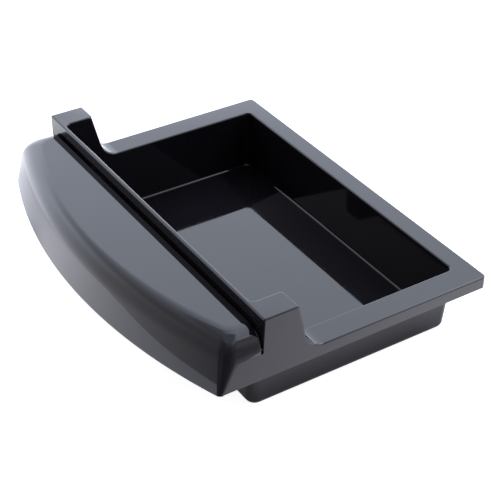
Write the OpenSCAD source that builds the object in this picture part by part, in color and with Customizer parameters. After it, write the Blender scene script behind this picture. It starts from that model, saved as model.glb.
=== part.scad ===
// Pull-out collecting tray with a bow fronted fascia.
// The origin is the centre of the flat underside of the basin: +X right, -Y front, +Z up.

/* [Rim] */
// Width over the side skirts
rim_w = 240; // [200:1:300]
// Depth from the front face of the front wall to the rear edge
rim_d = 146; // [120:1:180]
// Width of the flat flange on each side
side_flange = 15.5; // [13:0.5:20]
// Width of the flat flange at the rear
rear_flange = 12; // [9:0.5:18]
// Height of the skirt, from the top of the flange to its lower edge
skirt_h = 7.5; // [6:0.5:12]
// Plan radius of the two rear corners
rim_corner_r = 3; // [1:0.5:6]

/* [Basin] */
// Wall thickness of both mouldings
wall = 2.5; // [2:0.1:3.2]
// Depth of the basin below the rim
basin_depth = 37.5; // [25:0.5:60]
// How far each wall leans in between rim and floor
draft = 2.5; // [1:0.1:4]
// Plan radius of the outer corners
basin_corner_r = 6; // [4.5:0.5:10]
// Radius along the lower outer edge
foot_r = 4; // [3:0.25:4.25]

/* [Front wall and ears] */
// Height of the front wall and the ears above the rim
ear_h = 30.5; // [24:0.5:40]
// Depth of each ear along its top
ear_d = 21; // [15:0.5:30]
// Lean of the rear face of each ear, degrees from upright
ear_lean = 12.2; // [5:0.1:20]
// Fillet between the rear face of an ear and the flange
ear_fillet_r = 12; // [6:0.5:14]

/* [Fascia] */
// Reach of the bow in front of the front wall, on the centre line at the lower edge
bow_reach = 47.2; // [44:0.1:56]
// Radius of the bow in plan at the lower edge
bow_r = 350; // [330:1:400]
// Radius of the bow in plan at the front of the flat top
bow_top_r = 275; // [260:1:320]
// Lean of the bow from upright at its ends, degrees
bow_lean = 12.2; // [8:0.1:14]
// Plan radius between bow and side at the lower edge
bow_corner_r = 2.5; // [2:0.5:4]
// The same plan radius at the foot of the rounded top edge
bow_corner_top_r = 8; // [6:0.5:9]
// Height of the flat top above the rim
fascia_h = 22.2; // [20:0.1:25]
// Radius over the front top edge
fascia_round_r = 13.5; // [11:0.1:14]
// Radius over the top edge at both sides
fascia_side_r = 12.8; // [10:0.1:13.5]
// Slot between the fascia and the front wall
slot_w = 1.2; // [0.8:0.1:2]
// Joint line between the fascia and the cheeks of the tub
seam_w = 0.1; // [0.1:0.05:0.5]
// Flat strip between the cheeks and the rounded corners of the fascia
cheek_margin = 0.8; // [0.8:0.1:2]
// Radius at the upper front corner of the cheeks
cheek_corner_r = 8; // [3:0.5:9]

/* [Screws] */
// Distances of the screws from the centre line
screw_x = [35, 90]; // [22:1:102]
// Height of the screws above the rim
screw_z = 11; // [9:0.5:12]
// Shank diameter
screw_d = 3; // [2.5:0.1:3.5]
// Head diameter
screw_head_d = 6; // [5:0.5:7]
// Head height
screw_head_h = 2.2; // [1.8:0.1:2.6]
// Length under the head
screw_len = 14; // [10:1:16]

/* [Hidden] */
$fn = 32;
eps = 0.01;                                   // thickness of the slices that a hull joins
cut = 1;                                      // how far a cutting solid runs past a face

rim_z = basin_depth + wall;                   // top of the flange above the underside
basin_w = rim_w - 2 * side_flange;            // inner width at the rim
basin_d = rim_d - rear_flange - wall;         // inner depth at the rim
front_y = -(rim_d - rear_flange + wall) / 2;  // front face of the front wall
rear_y = front_y + rim_d;
basin_y = front_y + wall + basin_d / 2;       // middle of the basin
inner_corner_r = basin_corner_r - wall;
floor_fillet_r = foot_r - wall;

ear_toe = ear_d + ear_h * tan(ear_lean);      // where the leaning face would meet the rim
fillet_run = ear_fillet_r * tan((90 - ear_lean) / 2);

corner_min_r = 0.5;                           // plan radius left at the tightest inner corner
round_steps = 9;
arc_steps = 8;
bow_steps = 28;
skirt_z = rim_z - skirt_h;
top_z = rim_z + fascia_h;
seam_z = top_z - fascia_side_r;               // joint line, where the sides start to round
arc_z = top_z - fascia_round_r;               // centre of the rounding over the front top edge
lean_h = arc_z + fascia_round_r * sin(bow_lean) - skirt_z;  // height of the leaning part of the bow
lean_run = lean_h * tan(bow_lean);
top_inset = lean_run + fascia_round_r * cos(bow_lean);      // what bow and sides draw in over their height
apex_share = 0.79;                            // the same at the middle of the bow, as a share of the ends
bow_shrink = (bow_r - bow_top_r) / top_inset; // what the bow's radius loses for each unit of inset

cheek_foot = bow_start(skirt_z) + cheek_margin;
cheek_lean = atan2(bow_start(seam_z) + cheek_margin - cheek_foot, seam_z - skirt_z);
cheek_top = seam_z - seam_w / 2;
cheek_arc_z = cheek_top - cheek_corner_r;
cheek_arc_y = cheek_foot + (cheek_corner_r + (cheek_arc_z - skirt_z) * sin(cheek_lean)) / cos(cheek_lean);
boss_d = 8;
boss_len = 16;
boss_bore_d = screw_d + 0.1;
rib_t = 2;
screw_clearance = 0.4;
cross_w = 1;                                  // arms of the cross recess
cross_l = 3.4;
cross_depth = 1.2;
foot_steps = 5;

// Points on an arc about c, from angle a0 to a1
function arc(c, r, a0, a1, n) =
    [for (i = [0:n]) c + r * [cos(a0 + (a1 - a0) * i / n), sin(a0 + (a1 - a0) * i / n)]];

// Side view of a flange and its ear, t inside the outer skin: [depth behind the front face, height]
function ear_profile(t) =
    let (r = ear_fillet_r + t,
         c = [ear_toe + fillet_run, ear_fillet_r],
         top = ear_d + t * (tan(ear_lean) - 1 / cos(ear_lean)))
    concat([[t, -skirt_h - (t > 0 ? cut : 0)], [t, ear_h - t], [top, ear_h - t]],
           arc(c, r, 180 + ear_lean, 270, arc_steps),
           [[rim_d - t, -t], [rim_d - t, -skirt_h - (t > 0 ? cut : 0)]]);

// Plan radius at the corners of the fascia at height z
function corner_r(z) =
    bow_corner_r + (bow_corner_top_r - bow_corner_r) * min(1, (z - skirt_z) / (seam_z - skirt_z));

// Half width of the fascia at height z, t inside the outer skin
function half_w(z, t) =
    let (r = fascia_side_r - t, up = min(1, max(0, z - seam_z) / r))
    rim_w / 2 - t - r * (1 - sqrt(1 - up * up));

// Corner centre for a bow with a given inset, then drawn in by d, in a plan of half width x
function corner_centre(inset, d, x, r) =
    let (bow = bow_r - bow_shrink * inset, reach = bow_reach - apex_share * inset)
    [x - r, front_y - reach + bow - sqrt(pow(bow - d - r, 2) - pow(x - r, 2))];

// Where the flat side ends and the corner starts, on the leaning part of the bow
function bow_start(z) =
    corner_centre((z - skirt_z) * tan(bow_lean), 0, rim_w / 2, corner_r(z))[1];

// Plan of the fascia at one level, from the right rear corner round the bow to the left one
function fascia_plan(inset, d, x, r, back) =
    let (c = corner_centre(inset, d, x, r),
         bow = bow_r - bow_shrink * inset,
         o = [0, front_y - bow_reach + apex_share * inset + bow],
         a = atan2(c[1] - o[1], c[0]),
         half = concat(arc(c, r, 0, a * (1 - 1 / arc_steps), arc_steps - 1), arc(o, bow - d, a, -90, bow_steps)))
    concat([[x, back]], half, mirrored(half), [[-x, back]]);
function mirrored(p) = [for (i = [len(p) - 2:-1:0]) [-p[i][0], p[i][1]]];

// Plan of the basin at the rim, with rounded corners
module basin_plan(w, d, r) {
    offset(r) square([w - 2 * r, d - 2 * r], center = true);
}

// Basin block: tapered walls, rounded corners and a rounded lower edge, from the floor up to h
module basin_block(w, d, h, r, edge_r) {
    hull() {
        translate([0, 0, h]) linear_extrude(eps) basin_plan(w, d, r);
        for (x = [-1, 1], y = [-1, 1], i = [0:foot_steps]) let (a = 90 * i / foot_steps)
            translate([x * (w / 2 - draft - r), y * (d / 2 - draft - r), edge_r * (1 - cos(a))])
                cylinder(r = r - edge_r * (1 - sin(a)), h = eps);
    }
}

// Side view of a flange and its ear drawn out to a width, t inside the outer skin
module side_block(t, x, w) {
    translate([x, front_y, rim_z]) rotate([90, 0, 90]) linear_extrude(w) polygon(ear_profile(t));
}

// Flange, skirt and ears: a skin that is open below, with an inner wall only inside each ear
module rails() {
    difference() {
        union() {
            for (side = [0, 1]) mirror([side, 0, 0])
                side_block(0, basin_w / 2, side_flange);
            translate([-rim_w / 2, rear_y - rear_flange - wall, skirt_z])
                cube([rim_w, rear_flange + wall, skirt_h]);
            for (side = [0, 1]) mirror([side, 0, 0]) ear_root();
        }
        for (side = [0, 1]) mirror([side, 0, 0]) {
            side_block(wall, basin_w / 2 + wall, side_flange - 2 * wall);
            rear_corner_cut();
        }
        translate([wall - rim_w / 2, front_y + wall, skirt_z - cut])
            cube([rim_w - 2 * wall, rim_d - 2 * wall, skirt_h - wall + cut]);
    }
}

// Material in the corner between the right ear and the front wall, which the corner radius needs
module ear_root() {
    translate([basin_w / 2 - inner_corner_r, front_y + wall / 2, rim_z - wall])
        cube([inner_corner_r + wall / 2, inner_corner_r + wall / 2, ear_h + wall]);
}

// What the plan rounding takes off the right rear corner
module rear_corner_cut() {
    r = rim_corner_r;
    translate([rim_w / 2 - r, rear_y - r, skirt_z - cut]) difference() {
        cube([r + cut, r + cut, skirt_h + 2 * cut]);
        translate([0, 0, -cut]) cylinder(r = r, h = skirt_h + 4 * cut);
    }
}

// Front wall between the ears, down to the edge of the skirt
module front_wall() {
    translate([-rim_w / 2, front_y, skirt_z]) cube([rim_w, wall, skirt_h + ear_h]);
}

// Low side plate in front of the wall, seen from the side, larger by grow for its cut-out
module cheek_plate(grow) {
    low = skirt_z - (grow > 0 ? cut : 0);
    foot = cheek_foot - grow / cos(cheek_lean) - (skirt_z - low) * tan(cheek_lean);
    rotate([90, 0, 90]) linear_extrude(grow > 0 ? wall + 2 * cut : wall)
        polygon(concat([[foot, low], [front_y + wall / 2, low], [front_y + wall / 2, cheek_top + grow]],
                       arc([cheek_arc_y, cheek_arc_z], cheek_corner_r + grow, 90, 180 - cheek_lean, arc_steps)));
}
module cheeks(grow) {
    for (side = [0, 1]) mirror([side, 0, 0])
        translate([rim_w / 2 - wall - (grow > 0 ? cut : 0), 0, 0]) cheek_plate(grow);
}

module at_screws() {
    for (side = [-1, 1], x = screw_x) translate([side * x, front_y, rim_z + screw_z])
        rotate([90, 0, 0]) children();
}

// Closed solid through a stack of plan outlines with equal point counts
module loft(plans, heights) {
    n = len(plans[0]);
    last = (len(plans) - 1) * n;
    polyhedron(
        points = [for (k = [0:len(plans) - 1], p = plans[k]) [p[0], p[1], heights[k]]],
        faces = concat(
            [[for (j = [n - 1:-1:0]) j]],
            [[for (j = [0:n - 1]) last + j]],
            [for (k = [0:len(plans) - 2], j = [0:n - 1], half = [0, 1])
                let (a = k * n + j, b = k * n + (j + 1) % n)
                half == 0 ? [a, b, a + n] : [b, b + n, a + n]]));
}

// Solid fascia, t inside the outer skin, from the lower edge up to the flat top
module fascia_block(t) {
    back = front_y - slot_w + (t > 0 ? cut : 0);
    low = skirt_z - (t > 0 ? cut : 0);
    lean = [for (z = [low, seam_z]) [(z - skirt_z) * tan(bow_lean), t / cos(bow_lean), z]];
    over = [for (k = [0:round_steps]) let (a = bow_lean + (90 - bow_lean) * k / round_steps)
        [top_inset - fascia_round_r * cos(a), t * cos(a), arc_z + (fascia_round_r - t) * sin(a)]];
    levels = concat(lean, over);
    loft([for (v = levels) fascia_plan(v[0], v[1], half_w(v[2], t), max(corner_r(v[2]) - t, corner_min_r), back)],
         [for (v = levels) v[2]]);
}

// Ribs that tie the bosses to the top and the bow
module boss_ribs() {
    intersection() {
        fascia_block(wall / 2);
        for (side = [-1, 1], x = screw_x)
            translate([side * x - rib_t / 2, front_y - bow_reach, rim_z + screw_z])
                cube([rib_t, bow_reach - slot_w, fascia_h]);
    }
}

module tray_tub() color("#17181a") difference() {
    union() {
        rails();
        front_wall();
        cheeks(0);
        translate([0, basin_y, 0])
            basin_block(basin_w + 2 * wall, basin_d + 2 * wall, rim_z - eps, basin_corner_r, foot_r);
    }
    translate([0, basin_y, wall])
        basin_block(basin_w, basin_d, basin_depth, inner_corner_r, floor_fillet_r);
    translate([0, basin_y, rim_z]) linear_extrude(ear_h + cut)
        basin_plan(basin_w, basin_d, inner_corner_r);
    at_screws() translate([0, 0, -wall - cut])
        cylinder(d = screw_d + screw_clearance, h = wall + 2 * cut);
}

module front_fascia() color("#1b1c1f") difference() {
    union() {
        difference() {
            fascia_block(0);
            fascia_block(wall);
            cheeks(seam_w);
        }
        boss_ribs();
        at_screws() cylinder(d = boss_d, h = boss_len);
    }
    at_screws() translate([0, 0, -cut]) cylinder(d = boss_bore_d, h = screw_len + cut);
}

module fascia_screws() color("silver") at_screws() {
    translate([0, 0, -wall]) cylinder(d = screw_d, h = screw_len);
    translate([0, 0, -wall - screw_head_h]) difference() {
        cylinder(d = screw_head_d, h = screw_head_h);
        for (a = [0, 90]) rotate(a) translate([-cross_l / 2, -cross_w / 2, -cut])
            cube([cross_l, cross_w, cross_depth + cut]);
    }
}

tray_tub();
front_fascia();
fascia_screws();
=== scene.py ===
"""Gloss black pull-out collecting tray: the moulded tub, its bow fronted fascia and four screws.

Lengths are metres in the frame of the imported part: +X right, -Y front, +Z up, underside at z = 0.
"""
import math

import bmesh
import bpy
from mathutils import Matrix, Vector


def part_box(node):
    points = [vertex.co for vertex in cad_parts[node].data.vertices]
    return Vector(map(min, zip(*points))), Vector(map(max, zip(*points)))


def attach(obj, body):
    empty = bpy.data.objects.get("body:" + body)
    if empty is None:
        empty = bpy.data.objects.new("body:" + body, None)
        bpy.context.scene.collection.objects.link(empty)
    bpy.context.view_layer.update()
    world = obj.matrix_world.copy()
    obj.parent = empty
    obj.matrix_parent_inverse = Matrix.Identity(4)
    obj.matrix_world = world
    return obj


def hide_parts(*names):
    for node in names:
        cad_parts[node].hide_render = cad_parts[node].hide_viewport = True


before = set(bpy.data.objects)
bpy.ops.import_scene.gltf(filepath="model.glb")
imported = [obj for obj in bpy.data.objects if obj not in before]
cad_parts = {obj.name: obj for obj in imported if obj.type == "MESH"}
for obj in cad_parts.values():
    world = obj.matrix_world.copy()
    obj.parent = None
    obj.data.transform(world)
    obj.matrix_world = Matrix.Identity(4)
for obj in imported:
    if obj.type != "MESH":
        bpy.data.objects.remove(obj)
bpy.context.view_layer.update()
tub_low, tub_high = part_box("tray_tub")
fascia_low, fascia_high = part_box("front_fascia")
screws_low, screws_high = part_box("fascia_screws")

MM = 0.001

# Rim and basin
HALF_W = tub_high.x                      # outer face of the side skirts
REAR_Y = tub_high.y                      # outer face of the rear skirt
EAR_Z = tub_high.z                       # top of the front wall and the ears
SKIRT_Z = fascia_low.z                   # lower edge of the skirt and the fascia
SKIRT_H = 7.5 * MM
RIM_Z = SKIRT_Z + SKIRT_H                # top of the flange
WALL = 2.5 * MM
SIDE_FLANGE = 15.5 * MM
REAR_FLANGE = 12 * MM
FRONT_Y = fascia_high.y                  # front face of the front wall
WALL_Y = FRONT_Y + WALL                  # its rear face
BASIN_HX = HALF_W - SIDE_FLANGE          # half the inner width at the rim
BASIN_HY = (REAR_Y - REAR_FLANGE - WALL_Y) / 2
BASIN_Y = WALL_Y + BASIN_HY              # middle of the basin
DRAFT = 2.5 * MM                         # lean of the basin walls over their height
INNER_CORNER_R = 3.5 * MM
OUTER_CORNER_R = INNER_CORNER_R + WALL
FLOOR_FILLET_R = 1.5 * MM
FOOT_R = FLOOR_FILLET_R + WALL
REAR_CORNER_R = 3 * MM
CEILING_Z = RIM_Z - WALL                 # ceiling of the channels under the flanges
SKIRT_IN_X = HALF_W - WALL               # inner faces of the side skirts
SKIRT_IN_Y = REAR_Y - WALL               # inner face of the rear skirt

# Ears
EAR_D = 21 * MM                          # depth along the top
EAR_LEAN = math.radians(12.2)            # lean of the rear face from upright
EAR_FILLET_R = 12 * MM
EAR_CORNER_R = 3 * MM                    # plan rounding at the inner rear corner of the top
EAR_FOOT_R = 1.4 * MM                    # the same where the rear face leaves the fillet
EDGE_R = 1.0 * MM                        # small rounding along the edges of the tub
SKIRT_EDGE_SHARE = 0.5                   # the skirt's lower edge is rounded by this share of it

# Fascia
BOW_Y = fascia_low.y                     # front of the bow on the centre line, at its lower edge
BOW_R = 350 * MM                         # plan radius of the bow at its lower edge
BOW_TOP_R = 275 * MM                     # the same at the front of the flat top
BOW_LEAN = math.radians(12.2)            # lean of the bow from upright at its ends
APEX_SHARE = 0.79                        # how far the middle of the bow draws in, as a share of its ends
BOW_CORNER_R = 2.5 * MM                  # plan radius between bow and side at the lower edge
BOW_CORNER_TOP_R = 8 * MM                # the same at the foot of the rounded top edge
BOW_CORNER_MIN_R = 0.5 * MM              # the least left of it on the inner skin
FASCIA_TOP_Z = fascia_high.z
ROUND_R = 13.5 * MM                      # rounding over the front top edge
SIDE_R = 12.8 * MM                       # rounding over the top edge at both sides
SEAM_Z = FASCIA_TOP_Z - SIDE_R           # where the sides start to round
ARC_Z = FASCIA_TOP_Z - ROUND_R           # centre of the rounding over the front top edge
LEAN_TOP_Z = ARC_Z + ROUND_R * math.sin(BOW_LEAN)
TOP_INSET = (LEAN_TOP_Z - SKIRT_Z) * math.tan(BOW_LEAN) + ROUND_R * math.cos(BOW_LEAN)
SLOT = 1.2 * MM                          # gap between the fascia and the front wall
BACK_Y = FRONT_Y - SLOT
LIP_T = 2.0 * MM                         # lip inside the rear edge, which shuts the hollow off from the slot
LIP_H = 2.4 * MM
SEAM = 0.1 * MM                          # joint between the fascia and the cheeks
CHEEK_Y = tub_low.y                      # lower front corner of the cheeks
CHEEK_MARGIN = 0.8 * MM                  # flat strip between the cheeks and the fascia's corners
CHEEK_R = 8 * MM
FASCIA_EDGE_R = 0.5 * MM

# Screws
SCREW_X = (35 * MM, 90 * MM)
SCREW_Z = (screws_low.z + screws_high.z) / 2
HEAD_R = (screws_high.z - screws_low.z) / 2
HEAD_H = screws_high.y - WALL_Y
SHANK_R = 1.5 * MM
BOSS_R = 4 * MM
BOSS_LENGTH = 16 * MM
BOSS_CHAMFER = 0.4 * MM
BORE_R = 1.55 * MM
RIB_T = 2 * MM
RIB_PROUD = 0.1 * MM                     # how far the ribs pass the fascia's rear edge
RIB_CLEAR = 0.4 * MM                     # from the bore up to the foot of a rib


SHARP_ANGLE = math.radians(28)           # edges that turn by more than this are rounded or kept crisp
BEVEL_SEGMENTS = 3
WELDS_PER_MM = 1000                      # corners are told apart to a micrometre


def across(point):
    """The point on the other side of the middle plane."""
    x, y, z = point
    return -x, y, z


def mirrored(points):
    """The points on the other side of the middle plane, in reverse order."""
    return [across(p) for p in reversed(points)]


class Solid:
    """Collects polygons, joins their shared corners and becomes one closed mesh."""

    def __init__(self):
        self.bm = bmesh.new()
        self.at = {}

    def vert(self, point):
        key = tuple(round(c / MM * WELDS_PER_MM) for c in point)
        if key not in self.at:
            self.at[key] = self.bm.verts.new(point)
        return self.at[key]

    def face(self, points):
        """One polygon; corners that fall on each other are merged."""
        verts = []
        for p in points:
            v = self.vert(p)
            if not verts or v is not verts[-1]:
                verts.append(v)
        while len(verts) > 1 and verts[0] is verts[-1]:
            verts.pop()
        if len(verts) > 2:
            self.bm.faces.new(verts)

    def both(self, points):
        """A polygon and its mirror image on the other side of the middle plane."""
        self.face(points)
        self.face(mirrored(points))

    def strip(self, a, b, closed=False, both=False):
        """Quads between two rows with the same number of points."""
        n = len(a)
        for i in range(n if closed else n - 1):
            j = (i + 1) % n
            (self.both if both else self.face)([a[i], a[j], b[j], b[i]])

    def finish(self, name, width, weigh):
        """Turns the polygons into an object; weigh(edge) gives each sharp edge's share of width."""
        bm = self.bm
        bmesh.ops.recalc_face_normals(bm, faces=bm.faces)
        layer = bm.edges.layers.float.new("bevel_weight_edge")
        for e in bm.edges:
            if len(e.link_faces) != 2:
                raise ValueError(f"{name} is open at {tuple(round(c / MM, 2) for c in e.verts[0].co)}")
            if e.calc_face_angle() > SHARP_ANGLE:
                e[layer] = weigh(e)
                e.smooth = e[layer] > 0
        for f in bm.faces:
            f.smooth = True
        mesh = bpy.data.meshes.new(name)
        bm.to_mesh(mesh)
        bm.free()
        obj = bpy.data.objects.new(name, mesh)
        bpy.context.scene.collection.objects.link(obj)
        bevel = obj.modifiers.new("edges", "BEVEL")
        bevel.limit_method = "WEIGHT"
        bevel.width = width
        bevel.segments = BEVEL_SEGMENTS
        bevel.use_clamp_overlap = False
        normals = obj.modifiers.new("normals", "WEIGHTED_NORMAL")
        normals.keep_sharp = True
        return obj


def arc(cx, cy, r, start, end, n):
    """Points in a plane on an arc, with angles in degrees."""
    steps = [math.radians(start + (end - start) * i / n) for i in range(n + 1)]
    return [(cx + r * math.cos(a), cy + r * math.sin(a)) for a in steps]


def mid(edge):
    return (edge.verts[0].co + edge.verts[1].co) / 2


# ---------------------------------------------------------------- tub

CORNER_STEPS = 10
SPLIT = CORNER_STEPS // 2                # point of a split corner that lies on the rear of the front wall
EAR_FILLET_STEPS = 12
EAR_RISE_STEPS = 4
FLOOR_STEPS = 5
FOOT_STEPS = 8
REAR_STEPS = 8
CHEEK_STEPS = 10
EDGE_TURN = (0, 22.5, 45, 67.5, 90)      # stations across a rounded edge, in degrees


def corner_angles(split=None):
    """Angles round the front right corner, with one point at split degrees in front of the side."""
    if split is None:
        return [-90 + 90 * i / CORNER_STEPS for i in range(CORNER_STEPS + 1)]
    h = SPLIT
    return ([-90 + (90 - split) * i / h for i in range(h)]
            + [-split + split * i / h for i in range(h + 1)])


def basin_ring(hx, hy, r, z, split=None):
    """Rounded rectangle from its front right corner, counter-clockwise: four corners in turn."""
    front = corner_angles(split)
    rear = corner_angles()
    angles = [front, [a + 90 for a in rear], [a + 180 for a in rear], [180 - a for a in reversed(front)]]
    ring = []
    for (sx, sy), group in zip(((1, -1), (1, 1), (-1, 1), (-1, -1)), angles):
        for a in group:
            a = math.radians(a)
            ring.append((sx * (hx - r) + r * math.cos(a), BASIN_Y + sy * (hy - r) + r * math.sin(a), z))
    return ring


CORNER_POINTS = CORNER_STEPS + 1
FR_END = CORNER_POINTS - 1               # places in a ring: last point of the front right corner,
RR_START = CORNER_POINTS                 # first point of the rear right one,
RL_START = 2 * CORNER_POINTS             # first
RL_END = 3 * CORNER_POINTS - 1           # and last point of the rear left one


def ear_rise(t):
    """Side view of the rear of an ear, t inside the skin, from the flange up to the ear's top."""
    toe = EAR_D + (EAR_Z - RIM_Z) * math.tan(EAR_LEAN)
    run = EAR_FILLET_R * math.tan((math.pi / 2 - EAR_LEAN) / 2)
    cy, cz = FRONT_Y + toe + run, RIM_Z + EAR_FILLET_R
    points = arc(cy, cz, EAR_FILLET_R + t, 270, 180 + math.degrees(EAR_LEAN), EAR_FILLET_STEPS)
    top_y = FRONT_Y + EAR_D + t * (math.tan(EAR_LEAN) - 1 / math.cos(EAR_LEAN))
    start = points[-1]
    for k in range(1, EAR_RISE_STEPS + 1):
        points.append((start[0] + (top_y - start[0]) * k / EAR_RISE_STEPS,
                       start[1] + (EAR_Z - t - start[1]) * k / EAR_RISE_STEPS))
    return points


def rise_edges(rise):
    """Rounded inner edge beside an ear: one row of points for each station of the rise."""
    fillet = EAR_FILLET_STEPS
    rows = []
    for k, (y, z) in enumerate(rise):
        if k <= fillet:
            share = k / fillet
            tilt = math.pi / 2 + (EAR_LEAN - math.pi / 2) * share
            r = EDGE_R + (EAR_FOOT_R - EDGE_R) * share
        else:
            share = (k - fillet) / EAR_RISE_STEPS
            tilt = EAR_LEAN * (1 - share)
            r = EAR_FOOT_R + (EAR_CORNER_R - EAR_FOOT_R) * share
        ny, nz = math.cos(tilt), math.sin(tilt)
        row = []
        for a in EDGE_TURN:
            c, s = math.cos(math.radians(a)), math.sin(math.radians(a))
            row.append((BASIN_HX + r * (1 - c), y - ny * r * (1 - s), z - nz * r * (1 - s)))
        rows.append(row)
    return rows


def rim_rows(wall_ring):
    """Rounded inner edge of the flange round the rear of the basin, from right to left."""
    rows = []
    for i in range(RR_START, RL_END + 1):
        x, y, z = wall_ring[i]
        corner = i < RL_START
        cx = (BASIN_HX - INNER_CORNER_R) * (1 if corner else -1)
        cy = BASIN_Y + BASIN_HY - INNER_CORNER_R
        ox, oy = (x - cx) / INNER_CORNER_R, (y - cy) / INNER_CORNER_R
        row = []
        for a in EDGE_TURN:
            c, s = math.cos(math.radians(a)), math.sin(math.radians(a))
            row.append((x + ox * EDGE_R * (1 - c), y + oy * EDGE_R * (1 - c), z + EDGE_R * s))
        rows.append(row)
    return rows


def basin_inside(tub, wall_ring, toe):
    """Floor, floor fillet and leaning walls; wall_ring is their upper edge."""
    foot_x, foot_y = BASIN_HX - DRAFT, BASIN_HY - DRAFT
    r = INNER_CORNER_R
    rings = []
    for i in range(FLOOR_STEPS + 1):
        a = math.radians(90 * i / FLOOR_STEPS)
        inset = FLOOR_FILLET_R * (1 - math.sin(a))
        z = WALL + FLOOR_FILLET_R * (1 - math.cos(a))
        rings.append(basin_ring(foot_x - inset, foot_y - inset, r - inset, z))
    tub.face(rings[0])
    for low, high in zip(rings, rings[1:]):
        tub.strip(low, high, closed=True)
    top = rings[-1]
    for i in range(len(top)):
        j = (i + 1) % len(top)
        extra = []
        if i == FR_END:
            extra = [toe]
        elif i == RL_END:
            extra = [across(toe)]
        tub.face([top[i], top[j], wall_ring[j], *extra, wall_ring[i]])


def tub_top(tub, wall_ring, rise, edges, rim):
    """Wall and ear faces above the rim, the U shaped top, the ears' rear faces and the flange."""
    corner_low = wall_ring[:CORNER_POINTS]
    corner_high = [(x, y, EAR_Z) for x, y, _ in corner_low]
    tub.strip(corner_low, corner_high, both=True)
    tub.face([corner_low[0], corner_high[0], across(corner_high[0]), across(corner_low[0])])
    tub.both([corner_low[-1], *[row[0] for row in edges], corner_high[-1]])
    half = [(HALF_W, FRONT_Y, EAR_Z), (HALF_W, rise[-1][0], EAR_Z), *reversed(edges[-1]),
            *reversed(corner_high)]
    tub.face(half + mirrored(half))
    for low, high in zip(edges, edges[1:]):
        tub.strip(low, high, both=True)
    for (y0, z0), (y1, z1), low, high in zip(rise, rise[1:], edges, edges[1:]):
        tub.both([low[-1], (HALF_W, y0, z0), (HALF_W, y1, z1), high[-1]])
    rows = [edges[0], *rim, [across(point) for point in edges[0]]]
    for a, b in zip(rows, rows[1:]):
        tub.strip(a, b)
    inner = [row[-1] for row in rows]
    outer = [(x, y, RIM_Z) for x, y in rear_outline()]
    tub.face([*inner, (-HALF_W, rise[0][0], RIM_Z), *reversed(outer), (HALF_W, rise[0][0], RIM_Z)])


def rear_outline():
    """Outer outline round the two rear corners, from right to left."""
    cx, cy = HALF_W - REAR_CORNER_R, REAR_Y - REAR_CORNER_R
    right = arc(cx, cy, REAR_CORNER_R, 0, 90, REAR_STEPS)
    return right + [(-x, y) for x, y in reversed(right)]


def cheek_arc(grow):
    """Upper front corner of a cheek in side view, from its top edge down to its leaning front edge."""
    z = SEAM_Z - SEAM - CHEEK_R
    lean = math.atan((corner_start(SEAM_Z) + CHEEK_MARGIN - CHEEK_Y) / (SEAM_Z - SKIRT_Z))
    y = CHEEK_Y + (CHEEK_R + (z - SKIRT_Z) * math.sin(lean)) / math.cos(lean)
    return arc(y, z, CHEEK_R + grow, 90, 180 - math.degrees(lean), CHEEK_STEPS)


def tub_outside(tub, rise):
    """Side faces with the cheeks, the skirt round the rear, and the front face."""
    cheek = cheek_arc(0)
    top = cheek[0][1]
    outline = [(CHEEK_Y, SKIRT_Z), *reversed(cheek), (FRONT_Y, top), (FRONT_Y, EAR_Z),
               *reversed(rise), (REAR_Y - REAR_CORNER_R, RIM_Z), (REAR_Y - REAR_CORNER_R, SKIRT_Z)]
    tub.both([(HALF_W, y, z) for y, z in outline])
    rear = rear_outline()
    tub.strip([(x, y, RIM_Z) for x, y in rear], [(x, y, SKIRT_Z) for x, y in rear])
    half = [(SKIRT_IN_X, FRONT_Y, SKIRT_Z), (SKIRT_IN_X, FRONT_Y, top), (HALF_W, FRONT_Y, top),
            (HALF_W, FRONT_Y, EAR_Z)]
    tub.face(half + mirrored(half))
    side = [(FRONT_Y, top), *cheek, (CHEEK_Y, SKIRT_Z)]
    tub.strip([(HALF_W, y, z) for y, z in side], [(SKIRT_IN_X, y, z) for y, z in side], both=True)
    tub.both([(SKIRT_IN_X, y, z) for y, z in [(FRONT_Y, SKIRT_Z), *side]])


def outer_half(z):
    """Half sizes of the basin's outer wall at height z."""
    lean = DRAFT * (RIM_Z - z) / (RIM_Z - FOOT_R)
    return BASIN_HX + WALL - lean, BASIN_HY + WALL - lean


def wall_split(z):
    """Angle on the front corner where the basin's outer wall meets the rear of the front wall."""
    hy = outer_half(z)[1]
    return math.degrees(math.asin((BASIN_Y - (hy - OUTER_CORNER_R) - WALL_Y) / OUTER_CORNER_R))


def basin_outside(tub):
    """Outer basin up to the skirt's edge; returns its outline there and at the channels' ceiling."""
    r = OUTER_CORNER_R
    foot_x, foot_y = outer_half(FOOT_R)
    rings = []
    for i in range(FOOT_STEPS + 1):
        a = math.radians(90 * i / FOOT_STEPS)
        inset = FOOT_R * (1 - math.sin(a))
        rings.append(basin_ring(foot_x - inset, foot_y - inset, r - inset,
                                FOOT_R * (1 - math.cos(a)), wall_split(FOOT_R)))
    low = basin_ring(*outer_half(SKIRT_Z), r, SKIRT_Z, wall_split(SKIRT_Z))
    high = basin_ring(*outer_half(CEILING_Z), r, CEILING_Z, wall_split(CEILING_Z))
    tub.face(rings[0])
    for a, b in zip(rings, [*rings[1:], low]):
        tub.strip(a, b, closed=True)
    return low, high


def channel_wall(tub, low, high, toe):
    """Basin wall inside the channels; toe is where the right ear's hollow starts on its upper edge."""
    for i in range(SPLIT, len(high) - SPLIT - 1):
        extra = []
        if i == FR_END:
            extra = [toe]
        elif i == RL_END:
            extra = [across(toe)]
        tub.face([low[i], low[i + 1], high[i + 1], *extra, high[i]])


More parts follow.
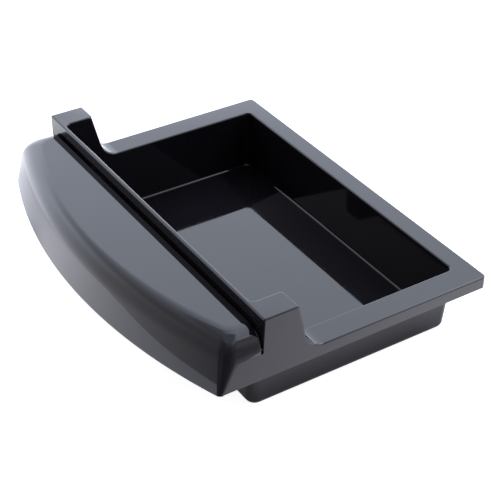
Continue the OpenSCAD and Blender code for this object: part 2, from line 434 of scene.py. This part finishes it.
def ear_hollows(tub, low, high, rise):
    """Hollow inside each ear, down to the skirt's edge at its outer and front side."""
    hx = high[FR_END][0]
    hollow_z = EAR_Z - WALL
    corner = high[SPLIT:CORNER_POINTS]
    top = [(x, y, hollow_z) for x, y, _ in corner]
    tub.strip(corner, top, both=True)
    tub.both([corner[-1], *[(hx, y, z) for y, z in rise], top[-1]])
    hollow_rear = rise[-1][0]
    tub.both([*top, (hx, hollow_rear, hollow_z), (SKIRT_IN_X, hollow_rear, hollow_z),
              (SKIRT_IN_X, WALL_Y, hollow_z)])
    tub.strip([(hx, y, z) for y, z in rise], [(SKIRT_IN_X, y, z) for y, z in rise], both=True)
    side = [(WALL_Y, SKIRT_Z), (SKIRT_IN_Y, SKIRT_Z), (SKIRT_IN_Y, CEILING_Z), *rise, (WALL_Y, hollow_z)]
    tub.both([(SKIRT_IN_X, y, z) for y, z in side])
    tub.both([low[SPLIT], (SKIRT_IN_X, WALL_Y, SKIRT_Z), (SKIRT_IN_X, WALL_Y, hollow_z), top[0], corner[0]])


def channel_ceiling(tub, high, toe):
    """Inner face of the rear skirt and the ceiling of the channels behind the ears."""
    x, y = SKIRT_IN_X, SKIRT_IN_Y
    tub.face([(x, y, SKIRT_Z), (-x, y, SKIRT_Z), (-x, y, CEILING_Z), (x, y, CEILING_Z)])
    tub.face([toe, *high[RR_START:RL_END + 1], across(toe), (-x, toe[1], CEILING_Z),
              (-x, y, CEILING_Z), (x, y, CEILING_Z), (x, toe[1], CEILING_Z)])


def lower_edges(tub, low):
    """Lower edges of the front wall, the cheeks and the skirt."""
    x = SKIRT_IN_X
    front_right = [(x, FRONT_Y, SKIRT_Z), (x, WALL_Y, SKIRT_Z), *reversed(low[:SPLIT + 1])]
    tub.face(front_right + mirrored(front_right))
    outer = [(HALF_W, CHEEK_Y), *rear_outline(), (-HALF_W, CHEEK_Y)]
    inner = [(-x, CHEEK_Y), (-x, FRONT_Y), (-x, WALL_Y), (-x, SKIRT_IN_Y),
             (x, SKIRT_IN_Y), (x, WALL_Y), (x, FRONT_Y), (x, CHEEK_Y)]
    tub.face([(x, y, SKIRT_Z) for x, y in outer + inner])


def tub_underside(tub):
    """Outer basin, channels under the flanges, hollows inside the ears and the lower edges."""
    low, high = basin_outside(tub)
    rise = ear_rise(WALL)
    toe = (high[FR_END][0], rise[0][0], CEILING_Z)
    channel_wall(tub, low, high, toe)
    ear_hollows(tub, low, high, rise)
    channel_ceiling(tub, high, toe)
    lower_edges(tub, low)


def tub_edge(edge):
    """Share of EDGE_R that an edge of the tub is rounded by."""
    c = mid(edge)
    inside = abs(c.x) < HALF_W - WALL / 2 and WALL_Y - WALL / 2 < c.y < REAR_Y - WALL / 2
    if c.z < SKIRT_Z + WALL / 4:
        outer = abs(c.x) > HALF_W - WALL / 4 or c.y > REAR_Y - WALL / 4
        return SKIRT_EDGE_SHARE if outer else 0
    if c.y < FRONT_Y + WALL / 4 and c.z < SEAM_Z:
        return 0
    if inside and c.z < EAR_Z - WALL / 4:
        return 0
    return 1


def build_tub():
    tub = Solid()
    rise = ear_rise(0)
    edges = rise_edges(rise)
    wall_ring = basin_ring(BASIN_HX, BASIN_HY, INNER_CORNER_R, RIM_Z - EDGE_R)
    rim = rim_rows(wall_ring)
    basin_inside(tub, wall_ring, edges[0][0])
    tub_top(tub, wall_ring, rise, edges, rim)
    tub_outside(tub, rise)
    tub_underside(tub)
    return tub.finish("tub_moulding", EDGE_R, tub_edge)


# ---------------------------------------------------------------- fascia

BOW_STEPS = 64
CORNER_TURNS = 12
LEAN_STEPS = 6
ROUND_STEPS = 14
BOSS_STEPS = 32
RIB_STEPS = 8
NEAR = 0.1 * MM                          # how close an edge lies to the plane that it belongs to


def corner_radius(z):
    """Plan radius between bow and side at height z, on the outer skin."""
    share = min(1, (z - SKIRT_Z) / (SEAM_Z - SKIRT_Z))
    return BOW_CORNER_R + (BOW_CORNER_TOP_R - BOW_CORNER_R) * share


def half_width(z, t):
    """Half width of the fascia at height z, t inside the outer skin."""
    r = SIDE_R - t
    up = min(1, max(0, z - SEAM_Z) / r)
    return HALF_W - t - r * (1 - math.sqrt(1 - up * up))


def bow_at(inset, depth):
    """Centre and radius of the bow in plan, where its ends have drawn in by inset, depth inside the skin."""
    r = BOW_R - (BOW_R - BOW_TOP_R) * inset / TOP_INSET
    return BOW_Y + APEX_SHARE * inset + r, r - depth


def corner_centre(inset, depth, x, r):
    centre, bow = bow_at(inset, depth)
    return centre - math.sqrt((bow - r) ** 2 - (x - r) ** 2)


def corner_start(z):
    """Where the flat side ends and the corner starts, on the leaning part of the bow."""
    return corner_centre((z - SKIRT_Z) * math.tan(BOW_LEAN), 0, HALF_W, corner_radius(z))


def fascia_level(inset, depth, z, t, back):
    """Outline at one height from the right rear corner round the bow to the left rear corner."""
    x, r = half_width(z, t), max(corner_radius(z) - t, BOW_CORNER_MIN_R)
    centre, bow = bow_at(inset, depth)
    y = corner_centre(inset, depth, x, r)
    turn = math.degrees(math.atan2(y - centre, x - r))
    plan = [(x, back), *arc(x - r, y, r, 0, turn, CORNER_TURNS)[:-1],
            *arc(0, centre, bow, turn, -90, BOW_STEPS // 2)]
    half = [(px, py, z) for px, py in plan]
    return half + mirrored(half[:-1])


def fascia_levels(t, back):
    """Outlines of one skin: those of the leaning part and those of the rounded top edge."""
    lean = []
    for k in range(LEAN_STEPS + 1):
        z = SKIRT_Z + (SEAM_Z - SKIRT_Z) * k / LEAN_STEPS
        lean.append(fascia_level((z - SKIRT_Z) * math.tan(BOW_LEAN), t / math.cos(BOW_LEAN), z, t, back))
    over = []
    for k in range(ROUND_STEPS + 1):
        a = BOW_LEAN + (math.pi / 2 - BOW_LEAN) * k / ROUND_STEPS
        z = ARC_Z + (ROUND_R - t) * math.sin(a)
        over.append(fascia_level(TOP_INSET - ROUND_R * math.cos(a), t * math.cos(a), z, t, back))
    return lean, over


def fascia_skin(shell, t, back):
    """One skin of the fascia; returns its rear profile, its lower outline and its cut-out edge."""
    lean, over = fascia_levels(t, back)
    base, above = lean[-1], over[0]
    side_x = HALF_W - t
    cut = [(side_x, y, z) for y, z in cheek_arc(SEAM)]
    cut.append((side_x, CHEEK_Y - SEAM, SKIRT_Z))
    shell.both([base[0], cut[0], base[1], above[1], above[0]])
    for low, high in zip(lean, [*lean[1:], above]):
        shell.strip(low[1:-1], high[1:-1])
    for low, high in zip(over, over[1:]):
        shell.strip(low, high)
    shell.face(over[-1])
    shell.both([*cut, *[level[1] for level in lean]])
    return [level[0] for level in (base, *over)], lean[0][1:-1], cut


def rear_lip(shell, outer, inner):
    """Rear edge of the fascia: a lip between the outer skin's rear profile and the inner skin's."""
    x0, r = HALF_W - SIDE_R, SIDE_R - WALL
    rear, front = [], []
    for _, y, z in inner:
        a = math.asin(min(1, (z - SEAM_Z) / r))
        px, pz = x0 + (r - LIP_H) * math.cos(a), SEAM_Z + (r - LIP_H) * math.sin(a)
        rear.append((px, BACK_Y, pz))
        front.append((px, y, pz))
    shell.both([outer[0], inner[0], front[0], rear[0]])
    whole = [row + mirrored(row) for row in (outer, rear, front, inner)]
    shell.face(whole[0] + whole[1][::-1])
    shell.strip(whole[1], whole[2])
    shell.face(whole[2] + whole[3][::-1])


def boss(shell, x):
    """Screw boss with its bore, from the front wall forward."""
    rows = []
    profile = [(BORE_R, 0), (BOSS_R - BOSS_CHAMFER, 0), (BOSS_R, -BOSS_CHAMFER), (BOSS_R, -BOSS_LENGTH),
               (BORE_R, -BOSS_LENGTH)]
    for i in range(BOSS_STEPS):
        a = 2 * math.pi * i / BOSS_STEPS
        rows.append([(x + r * math.cos(a), FRONT_Y + y, SCREW_Z + r * math.sin(a)) for r, y in profile])
    for row, following in zip(rows, rows[1:] + rows[:1]):
        shell.strip([*row, row[0]], [*following, following[0]])


def rib(shell, x):
    """Rib over a boss, from the boss to the underside of the top and the back of the bow."""
    skin = WALL / 2
    back = BACK_Y + RIB_PROUD
    low = SCREW_Z + BORE_R + RIB_CLEAR
    start = math.asin((low - ARC_Z) / (ROUND_R - skin))
    side = [(back, low)]
    for k in range(RIB_STEPS + 1):
        a = start + (math.pi / 2 - start) * k / RIB_STEPS
        centre, bow = bow_at(TOP_INSET - ROUND_R * math.cos(a), skin * math.cos(a))
        side.append((centre - math.sqrt(bow * bow - x * x), ARC_Z + (ROUND_R - skin) * math.sin(a)))
    side.append((back, FASCIA_TOP_Z - skin))
    right = [(x + RIB_T / 2, y, z) for y, z in side]
    left = [(x - RIB_T / 2, y, z) for y, z in side]
    shell.face(right)
    shell.face(left)
    shell.strip(right, left, closed=True)


def fascia_edge(edge):
    """Share of FASCIA_EDGE_R that an edge of the fascia is rounded by."""
    c = mid(edge)
    v = (edge.verts[0].co - edge.verts[1].co).normalized()
    if abs(v.x) > 0.99 and abs(c.x) > HALF_W - WALL:
        return 0
    if c.y > BACK_Y - NEAR:
        inner = c.z < FASCIA_TOP_Z - WALL / 2 and abs(c.x) < HALF_W - SIDE_R
        rounding = math.hypot(abs(c.x) - (HALF_W - SIDE_R), c.z - SEAM_Z) < SIDE_R - WALL / 2
        return 0 if inner or (abs(c.x) >= HALF_W - SIDE_R and rounding) else 1
    if c.z < SKIRT_Z + NEAR:
        reach = math.hypot(c.x, c.y - BOW_Y - BOW_R)
        return 1 if reach > BOW_R - WALL / 2 else 0
    return 0


def build_fascia():
    shell = Solid()
    outer = fascia_skin(shell, 0, BACK_Y)
    inner = fascia_skin(shell, WALL, BACK_Y - LIP_T)
    shell.strip(outer[1], inner[1])
    rim_out = [outer[0][0], *outer[2], outer[1][0]]
    rim_in = [inner[0][0], *inner[2], inner[1][0]]
    shell.strip(rim_out, rim_in, both=True)
    rear_lip(shell, outer[0], inner[0])
    for side in (-1, 1):
        for x in SCREW_X:
            boss(shell, side * x)
            rib(shell, side * x)
    return shell.finish("fascia_moulding", FASCIA_EDGE_R, fascia_edge)


# ---------------------------------------------------------------- screws

HEAD_STEPS = 32
CROSS_HALF_L = 1.7 * MM
CROSS_HALF_W = 0.45 * MM
CROSS_DEPTH = 1.2 * MM
CROSS_TAPER = 0.8
THREAD_PITCH = 1.25 * MM
THREAD_DEPTH = 0.35 * MM
THREAD_CREST = 0.1 * MM
THREAD_START = 0.2 * MM                  # plain shank past the wall
THREAD_END = 12.2 * MM                   # from the head's seat
TIP_R = 0.35 * MM
TIP_END = 13.9 * MM
SCREW_EDGE_R = 0.06 * MM


def screw_edge(edge):
    """Share of SCREW_EDGE_R: the edges of the cross recess are eased, the thread stays crisp."""
    c = mid(edge)
    return 1 if c.y > WALL_Y + HEAD_H - 0.05 * MM else 0


def screw_profile():
    """Radius and distance from the head's seat along a screw, from its dome to its tip."""
    dome = [(HEAD_R - 1.0 * MM, HEAD_H), (HEAD_R - 0.55 * MM, HEAD_H - 0.12 * MM),
            (HEAD_R - 0.22 * MM, HEAD_H - 0.4 * MM), (HEAD_R - 0.04 * MM, HEAD_H - 0.85 * MM),
            (HEAD_R, HEAD_H - 1.3 * MM), (HEAD_R, 0.15 * MM), (HEAD_R - 0.15 * MM, 0)]
    core = SHANK_R - THREAD_DEPTH
    shank = [(SHANK_R, 0), (SHANK_R, -WALL)]
    y = -WALL - THREAD_START
    while y > -THREAD_END:
        crest = y - THREAD_PITCH / 2
        shank += [(core, y), (SHANK_R, crest), (SHANK_R, crest - THREAD_CREST)]
        y -= THREAD_PITCH
    return dome + shank + [(core, y), (TIP_R, -TIP_END)]


def screw(solid, x):
    """One pan head screw with a cross recess, lathed about an axis along Y."""
    def place(r, a, y):
        return (x + r * math.cos(a), WALL_Y + y, SCREW_Z + r * math.sin(a))

    profile = screw_profile()
    rows = [[place(r, 2 * math.pi * i / HEAD_STEPS, y) for i in range(HEAD_STEPS)] for r, y in profile]
    for a, b in zip(rows, rows[1:]):
        solid.strip(a, b, closed=True)
    solid.face(rows[-1])
    w, tip = CROSS_HALF_W, CROSS_HALF_L
    arm = [(tip, 0), (tip, w), (w, w), (w, tip)]
    cross = []
    for _ in range(4):
        cross += arm
        arm = [(-v, u) for u, v in arm]
    mouth = [(x + u, WALL_Y + HEAD_H, SCREW_Z + v) for u, v in cross]
    floor = [(x + u * CROSS_TAPER, WALL_Y + HEAD_H - CROSS_DEPTH, SCREW_Z + v * CROSS_TAPER)
             for u, v in cross]
    solid.strip(mouth, floor, closed=True)
    solid.face(floor)
    quarter, side = HEAD_STEPS // 4, len(mouth) // 4
    for q in range(4):
        ring = [rows[0][(quarter * q + i) % HEAD_STEPS] for i in range(quarter + 1)]
        lips = [mouth[(side * q + i) % len(mouth)] for i in range(side + 1)]
        solid.face([*ring, *reversed(lips)])


def build_screws():
    solid = Solid()
    for side in (-1, 1):
        for x in SCREW_X:
            screw(solid, side * x)
    return solid.finish("screws", SCREW_EDGE_R, screw_edge)


# ---------------------------------------------------------------- materials

class Nodes:
    """Short hand for building a node tree."""

    def __init__(self, tree):
        self.tree = tree
        tree.nodes.clear()

    def add(self, kind, **settings):
        """A node; settings that name an input socket set it or link to it, others are properties."""
        node = self.tree.nodes.new("ShaderNode" + kind)
        for key, value in settings.items():
            if not key[0].isupper():
                setattr(node, key, value)
        for key, value in settings.items():
            if key[0].isupper():
                socket = node.inputs[key.replace("_", " ")]
                if isinstance(value, bpy.types.NodeSocket):
                    self.tree.links.new(value, socket)
                else:
                    socket.default_value = value
        return node

    def math(self, operation, a, b=0.0):
        node = self.add("Math", operation=operation)
        for socket, value in zip(node.inputs, (a, b)):
            if isinstance(value, bpy.types.NodeSocket):
                self.tree.links.new(value, socket)
            else:
                socket.default_value = value
        return node.outputs[0]

    def span(self, value, low, high, to_low=0.0, to_high=1.0, smooth=True):
        """value from low..high carried to to_low..to_high."""
        node = self.add("MapRange", interpolation_type="SMOOTHSTEP" if smooth else "LINEAR")
        self.tree.links.new(value, node.inputs["Value"])
        for name, number in zip(("From Min", "From Max", "To Min", "To Max"), (low, high, to_low, to_high)):
            node.inputs[name].default_value = number
        return node.outputs[0]

    def mix(self, factor, a, b):
        """Colour a where factor is 0 and b where it is 1."""
        node = self.add("Mix", data_type="RGBA")
        for socket, value in ((node.inputs[0], factor), (node.inputs[6], a), (node.inputs[7], b)):
            if isinstance(value, bpy.types.NodeSocket):
                self.tree.links.new(value, socket)
            elif socket.type == "RGBA":
                socket.default_value = (*value, 1)
            else:
                socket.default_value = value
        return node.outputs[2]

    def noise(self, vector, size, detail=2.0, rough=0.5):
        """Noise whose features are about size across, in metres."""
        node = self.add("TexNoise", Vector=vector, Scale=1 / size, Detail=detail, Roughness=rough)
        return node.outputs["Fac"]


def new_material(name):
    mat = bpy.data.materials.new(name)
    mat.use_nodes = True
    return mat, Nodes(mat.node_tree)


def hairlines(n, coords, angle, length, width, keep):
    """Sparse fine scratches that run along one direction: 1 on a scratch and 0 off it."""
    turned = n.add("Mapping", Vector=coords, Rotation=(0.35, 0.2, angle),
                   Scale=(1 / length, 1 / width, 1 / width)).outputs[0]
    streak = n.add("TexNoise", Vector=turned, Scale=1.0, Detail=1.0).outputs["Fac"]
    return n.span(streak, keep, keep + 0.05)


def specks(n, coords, cell, radius, keep):
    """Sparse grains of dust: 1 on a grain and 0 off it."""
    cells = n.add("TexVoronoi", Vector=coords, Scale=1 / cell)
    chosen = n.add("SeparateColor", Color=cells.outputs["Color"]).outputs[0]
    size = n.span(chosen, keep, 1.0, 0.0, radius / cell, smooth=False)
    inside = n.math("SUBTRACT", size, cells.outputs["Distance"])
    return n.span(inside, 0.0, 0.15 * radius / cell)


PLASTIC_IOR = 1.5
SECOND_BOUNCE_IOR = 1.22                 # light that one face has mirrored is polarised: the next dims it


def gloss_black(name, deep, lifted, seed):
    """High gloss black plastic with a faint haze, hairline scuffs, dust and a slight moulded waviness."""
    mat, n = new_material(name)
    start = n.add("TexCoord").outputs["Object"]
    coords = n.add("Mapping", Vector=start, Location=(seed, -seed, 0.5 * seed)).outputs[0]
    cloud = n.span(n.noise(coords, 60 * MM, 3), 0.35, 0.65)
    haze = n.span(n.noise(coords, 25 * MM, 4, 0.6), 0.35, 0.7)
    scuff = n.math("MAXIMUM", hairlines(n, coords, 0.5, 12 * MM, 0.22 * MM, 0.70),
                   hairlines(n, coords, -0.9, 18 * MM, 0.28 * MM, 0.71))
    dust = specks(n, coords, 9 * MM, 0.22 * MM, 0.72)
    colour = n.mix(cloud, deep, lifted)
    colour = n.mix(n.math("MULTIPLY", scuff, 0.05), colour, (0.08, 0.08, 0.085))
    colour = n.mix(n.math("MULTIPLY", dust, 0.5), colour, (0.10, 0.10, 0.095))
    rough = n.math("ADD", n.span(haze, 0.0, 1.0, 0.025, 0.055), n.math("MULTIPLY", scuff, 0.06))
    rough = n.math("ADD", rough, n.math("MULTIPLY", dust, 0.35))
    wave = n.math("MULTIPLY", n.noise(coords, 45 * MM, 1), 0.05)
    peel = n.math("MULTIPLY", n.noise(coords, 1.6 * MM, 1), 0.0007)
    height = n.math("ADD", n.math("ADD", wave, peel), n.math("MULTIPLY", scuff, -0.0006))
    bump = n.add("Bump", Height=height, Strength=1.0, Distance=MM).outputs[0]
    shader = n.add("BsdfPrincipled", Base_Color=colour, Roughness=rough, IOR=PLASTIC_IOR, Normal=bump)
    second = n.add("BsdfPrincipled", Base_Color=colour, Roughness=rough, IOR=SECOND_BOUNCE_IOR, Normal=bump)
    bounce = n.add("LightPath").outputs["Is Glossy Ray"]
    both = n.add("MixShader", Fac=bounce)
    n.tree.links.new(shader.outputs[0], both.inputs[1])
    n.tree.links.new(second.outputs[0], both.inputs[2])
    n.add("OutputMaterial", Surface=both.outputs[0])
    return mat


def zinc_steel(name):
    """Zinc plated steel: satin, with cloudy plating, fine pits and a faint yellow cast in places."""
    mat, n = new_material(name)
    coords = n.add("TexCoord").outputs["Object"]
    cloud = n.span(n.noise(coords, 2.2 * MM, 3), 0.35, 0.65)
    grain = n.noise(coords, 0.25 * MM, 2)
    colour = n.mix(cloud, (0.50, 0.51, 0.53), (0.62, 0.60, 0.55))
    rough = n.math("ADD", n.span(cloud, 0.0, 1.0, 0.22, 0.36), n.math("MULTIPLY", grain, 0.08))
    bump = n.add("Bump", Height=grain, Strength=0.35, Distance=0.04 * MM).outputs[0]
    shader = n.add("BsdfPrincipled", Base_Color=colour, Metallic=1.0, Roughness=rough, Normal=bump)
    n.add("OutputMaterial", Surface=shader.outputs[0])
    return mat


# ---------------------------------------------------------------- studio

CAMERA_AZIMUTH = math.radians(57.495)    # from straight in front, towards the right side
CAMERA_ELEVATION = math.radians(35.01)
CAMERA_ROLL = math.radians(0.13)
CAMERA_DISTANCE = 746.1 * MM
CAMERA_TARGET = Vector((29.56, -18.80, 39.99)) * MM
SENSOR = 36.0
FOCAL = 95.46                            # sees 21.4 degrees across
NEAR_CLIP = 10 * MM


def camera_axes():
    """Right, up and backward unit vectors of the camera."""
    a, e = CAMERA_AZIMUTH, CAMERA_ELEVATION
    back = Vector((math.sin(a) * math.cos(e), -math.cos(a) * math.cos(e), math.sin(e)))
    right = Vector((math.cos(a), math.sin(a), 0))
    up = back.cross(right)
    c, s = math.cos(CAMERA_ROLL), math.sin(CAMERA_ROLL)
    return c * right + s * up, c * up - s * right, back


def place_camera(scene):
    right, up, back = camera_axes()
    data = bpy.data.cameras.new("camera")
    data.sensor_width = SENSOR
    data.lens = FOCAL
    data.clip_start = NEAR_CLIP
    camera = bpy.data.objects.new("camera", data)
    turn = Matrix((right, up, back)).transposed().to_4x4()
    camera.matrix_world = Matrix.Translation(CAMERA_TARGET + CAMERA_DISTANCE * back) @ turn
    scene.collection.objects.link(camera)
    scene.camera = camera


def ramp(n, value, stops):
    """Colour ramp through (position, colour) stops."""
    node = n.add("ValToRGB", Fac=value)
    node.color_ramp.interpolation = "LINEAR"
    elements = node.color_ramp.elements
    while len(elements) > 1:
        elements.remove(elements[-1])
    for i, (position, colour) in enumerate(stops):
        element = elements[0] if i == 0 else elements.new(position)
        element.position = position
        element.color = (*colour, 1)
    return node.outputs[0]


SKY_PEAK = 5.0
COOL = (0.90, 0.97, 1.13)                # bluish white of the lit parts
WARM = (0.99, 0.97, 1.04)                # plainer grey of the room
SKY_SEAM = 300                           # direction where the rings start and end, in degrees
LOW_RING = (                             # degrees from +X towards +Y, brightness, tint; up to 27 degrees up
    (345, 0.1, WARM), (385, 0.4, WARM), (400, 2.0, WARM), (480, 1.5, COOL), (515, 3.2, COOL),
    (560, 3.2, COOL), (590, 1.2, WARM), (630, 0.2, WARM))
MIDDLE_RING = (                          # from 44 to 55 degrees up
    (345, 0.2, WARM), (400, 0.8, WARM), (405, 2.8, COOL), (415, 3.0, COOL), (420, 5.0, COOL),
    (485, 5.0, COOL), (490, 2.8, COOL), (510, 2.4, COOL), (540, 1.5, COOL), (590, 0.7, WARM),
    (640, 0.2, WARM))
TOP_RING = (                             # from 58 degrees up
    (345, 0.4, WARM), (400, 1.6, COOL), (420, 2.4, COOL), (490, 2.6, COOL), (515, 1.8, COOL),
    (535, 0.9, COOL), (650, 0.2, WARM))
LOW_TO_MIDDLE = (0.45, 0.70)             # fades between rings, by the height of the unit direction
MIDDLE_TO_TOP = (0.82, 0.85)
TOP_TO_ZENITH = (0.93, 0.97)
ZENITH_GLOW = 0.8
PANEL_TURN = (136, 142, 156, 166)        # lit panel at the rear left: edges of its fades, in degrees
PANEL_HEIGHT = (28, 30, 38, 39.5)
PANEL_GLOW = 2.55


def lit(glow, peak, tint):
    """Tint at a brightness, as a share of the strongest one."""
    return tuple(glow / peak * c for c in tint)


def along(n, vector, direction):
    """How far vector reaches in a direction."""
    node = n.add("VectorMath", operation="DOT_PRODUCT")
    n.tree.links.new(vector, node.inputs[0])
    node.inputs[1].default_value = direction
    return node.outputs["Value"]


def window(n, value, edges):
    """1 between the two middle edges, fading to 0 at the outer ones."""
    low, low_full, high_full, high = edges
    return n.math("MULTIPLY", n.span(value, low, low_full), n.span(value, high_full, high, 1.0, 0.0))


def studio_sky(scene):
    """Lit backdrop low on the left, a soft box half way up behind the tray, and a dim room elsewhere."""
    world = bpy.data.worlds.new("studio")
    world.use_nodes = True
    scene.world = world
    n = Nodes(world.node_tree)
    direction = n.add("TexCoord").outputs["Generated"]
    middle = math.radians(SKY_SEAM + 180)
    x = along(n, direction, (math.cos(middle), math.sin(middle), 0))
    y = along(n, direction, (-math.sin(middle), math.cos(middle), 0))
    turn = n.span(n.math("ARCTAN2", y, x), -math.pi, math.pi, smooth=False)
    low, middle_ring, top = [
        ramp(n, turn, [((a - SKY_SEAM) / 360, lit(b, SKY_PEAK, tint)) for a, b, tint in ring])
        for ring in (LOW_RING, MIDDLE_RING, TOP_RING)]
    height = along(n, direction, (0, 0, 1))
    colour = n.mix(n.span(height, *LOW_TO_MIDDLE), low, middle_ring)
    colour = n.mix(n.span(height, *MIDDLE_TO_TOP), colour, top)
    colour = n.mix(n.span(height, *TOP_TO_ZENITH), colour, lit(ZENITH_GLOW, SKY_PEAK, COOL))
    turn_edges = [(a + 360 - SKY_SEAM) / 360 for a in PANEL_TURN]
    height_edges = [math.sin(math.radians(a)) for a in PANEL_HEIGHT]
    panel = n.math("MULTIPLY", window(n, turn, turn_edges), window(n, height, height_edges))
    colour = n.mix(panel, colour, lit(PANEL_GLOW, SKY_PEAK, COOL))
    shader = n.add("Background", Color=colour, Strength=SKY_PEAK)
    n.add("OutputWorld", Surface=shader.outputs[0])


def flat_shape(name, outline, z):
    mesh = bpy.data.meshes.new(name)
    mesh.from_pydata([(x, y, z) for x, y in outline], [], [tuple(range(len(outline)))])
    obj = bpy.data.objects.new(name, mesh)
    bpy.context.scene.collection.objects.link(obj)
    return obj


TABLE_REACH = 4                          # metres to each side
TABLE_Z = -0.3 * MM
TABLE_GLOW = 0.9
CLOUD_SIZE = 0.3                         # metres across the faint patches in the table and the sheet


def matt_glow(n, tone, glow, strength):
    """Matt surface that also shines."""
    shader = n.add("BsdfPrincipled", Base_Color=tone, Roughness=0.9, Specular_IOR_Level=0.0,
                   Emission_Color=glow, Emission_Strength=strength)
    n.add("OutputMaterial", Surface=shader.outputs[0])


def table_top():
    """Pale matt table, which the camera sees; the gloss sees the lit sheet instead."""
    r = TABLE_REACH
    floor = flat_shape("floor", ((-r, -r), (r, -r), (r, r), (-r, r)), TABLE_Z)
    mat, n = new_material("pale_table")
    coords = n.add("TexCoord").outputs["Object"]
    tone = n.mix(n.noise(coords, CLOUD_SIZE, 3), (0.60, 0.60, 0.61), (0.64, 0.64, 0.65))
    matt_glow(n, tone, (1, 1, 1, 1), TABLE_GLOW)
    floor.data.materials.append(mat)
    floor.visible_glossy = False
    return floor


SHEET_FRONT_Y = -195 * MM                # near edge of the lit sheet under the tray
SHEET_CORNER_X = 102 * MM                # where that edge ends
SHEET_BEND = (122 * MM, -105 * MM)       # bend in the right edge
SHEET_RIGHT = math.radians(47.5)         # direction of the right edge beyond the bend
SHEET_REACH = 3.0                        # metres
SHEET_Z = -0.2 * MM
SHEET_PEAK = 3.0
SHEET_GLOW = (                           # metres along x - y, glow
    (-0.30, 2.2), (-0.05, 1.9), (0.0, 1.55), (0.10, 1.35), (0.20, 0.85), (0.30, 0.4))
DARK_POOL = (-170 * MM, -105 * MM)       # the tray's shade by its left front end
POOL_R = 95 * MM
POOL_CORE = 0.2                          # share of POOL_R that is dark all over
POOL_GLOW = (0.22, 0.22, 0.23)
SHADE_X = (-150, -122, 100, 150)         # shade under the tray: edges of its fades, in millimetres
SHADE_Y = (-140, -108, 72, 110)
SHADE_GLOW = 0.04


def pool(n, coords, centre):
    """1 at a spot on the sheet, fading to 0 at POOL_R."""
    reach = n.add("VectorMath", operation="DISTANCE")
    n.tree.links.new(coords, reach.inputs[0])
    reach.inputs[1].default_value = (*centre, 0)
    return n.span(reach.outputs["Value"], POOL_CORE * POOL_R, POOL_R, 1.0, 0.0)


def lit_sheet():
    """White sheet that the gloss reflects, brighter towards the rear left; its glow carries painted shade
    under the tray and by its left front end.
    """
    x, y = SHEET_BEND
    right = (x + SHEET_REACH * math.cos(SHEET_RIGHT), y + SHEET_REACH * math.sin(SHEET_RIGHT))
    outline = ((-SHEET_REACH, SHEET_FRONT_Y), (SHEET_CORNER_X, SHEET_FRONT_Y), SHEET_BEND, right,
               (-SHEET_REACH, SHEET_REACH))
    sheet = flat_shape("lit_sheet", outline, SHEET_Z)
    mat, n = new_material("lit_sheet")
    coords = n.add("TexCoord").outputs["Object"]
    place = n.span(along(n, coords, (1, -1, 0)), -0.5, 0.5, smooth=False)
    glow = ramp(n, place, [(u + 0.5, lit(b, SHEET_PEAK, WARM)) for u, b in SHEET_GLOW])
    # painted shade: a darker pool in the glow by the tray's left front end, and a darker window under the
    # tray
    glow = n.mix(pool(n, coords, DARK_POOL), glow, POOL_GLOW)
    shade = [window(n, along(n, coords, axis), [edge * MM for edge in edges])
             for axis, edges in (((1, 0, 0), SHADE_X), ((0, 1, 0), SHADE_Y))]
    glow = n.mix(n.math("MULTIPLY", *shade), glow, (SHADE_GLOW,) * 3)
    tone = n.mix(n.noise(coords, CLOUD_SIZE, 3), (0.58, 0.58, 0.60), (0.62, 0.62, 0.64))
    matt_glow(n, tone, glow, SHEET_PEAK)
    sheet.data.materials.append(mat)
    sheet.visible_camera = False
    sheet.visible_diffuse = False
    sheet.visible_shadow = False
    return sheet


def main():
    scene = bpy.context.scene
    scene.view_settings.view_transform = "Standard"
    tub, fascia, screws = build_tub(), build_fascia(), build_screws()
    black = gloss_black("black_tub", (0.0054, 0.0050, 0.0070), (0.0068, 0.0063, 0.0086), 0.0)
    black_front = gloss_black("black_fascia", (0.0055, 0.0051, 0.0071), (0.0069, 0.0064, 0.0087), 0.37)
    steel = zinc_steel("zinc_steel")
    for piece, node, slot, material in ((tub, "tray_tub", "tub_plastic", black),
                                        (fascia, "front_fascia", "fascia_plastic", black_front),
                                        (screws, "fascia_screws", "screw_steel", steel)):
        piece.data.materials.append(material)
        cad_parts[node].data.materials.clear()
        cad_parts[node].data.materials.append(material)
        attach(piece, "root")
        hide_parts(node)
    table_top()
    lit_sheet()
    studio_sky(scene)
    place_camera(scene)


main()
